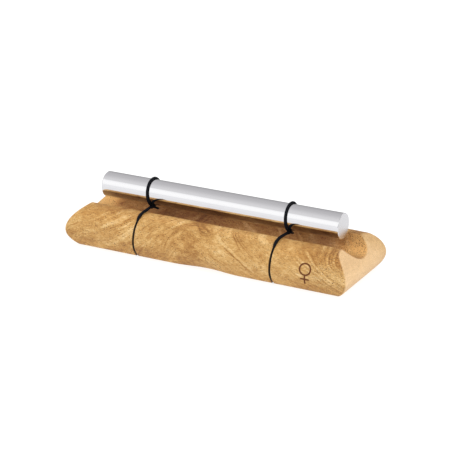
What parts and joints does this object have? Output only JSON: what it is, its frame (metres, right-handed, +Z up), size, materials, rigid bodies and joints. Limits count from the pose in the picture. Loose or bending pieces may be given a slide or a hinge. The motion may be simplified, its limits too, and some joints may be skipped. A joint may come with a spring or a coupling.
{
  "type": "energy chime",
  "caption": "Polished round metal chime rod slung on black cords over the trough of a soap-bar shaped hardwood block, struck to give one long clear tone.",
  "frame": {"origin": "centre of the block's flat underside, on the surface that the chime stands on", "axes": "+X along the rod, to the right as seen from the front; -Y is the front; +Z up"},
  "size_m": [0.1442, 0.0446, 0.0329],
  "materials": {
    "wood": "sanded and lightly oiled figured hardwood",
    "rod": "polished round bar with matt sawn ends",
    "cord": "black braided twine"
  },
  "bodies": {
    "base": {"base_block": "wood", "left_cord_wrap": "cord", "right_cord_wrap": "cord", "left_front_span": "cord", "left_rear_span": "cord", "right_front_span": "cord", "right_rear_span": "cord"},
    "sling": {"left_rod_loop": "cord", "right_rod_loop": "cord"},
    "rod": {"chime_rod": "rod"}
  },
  "joints": [
    {"name": "chime_bounce", "type": "slide", "parent": "base", "child": "sling", "axis": [0, 0, 1], "range_m": [-0.0035, 0.003], "stiffness_N_per_m": 600, "springref_m": 0.00061, "deforming": ["left_front_span", "left_rear_span", "right_front_span", "right_rear_span"]},
    {"name": "chime_roll", "type": "hinge", "parent": "sling", "child": "rod", "pos_m": [-0.0006, 0, 0.0254], "axis": [1, 0, 0], "continuous": true}
  ]
}
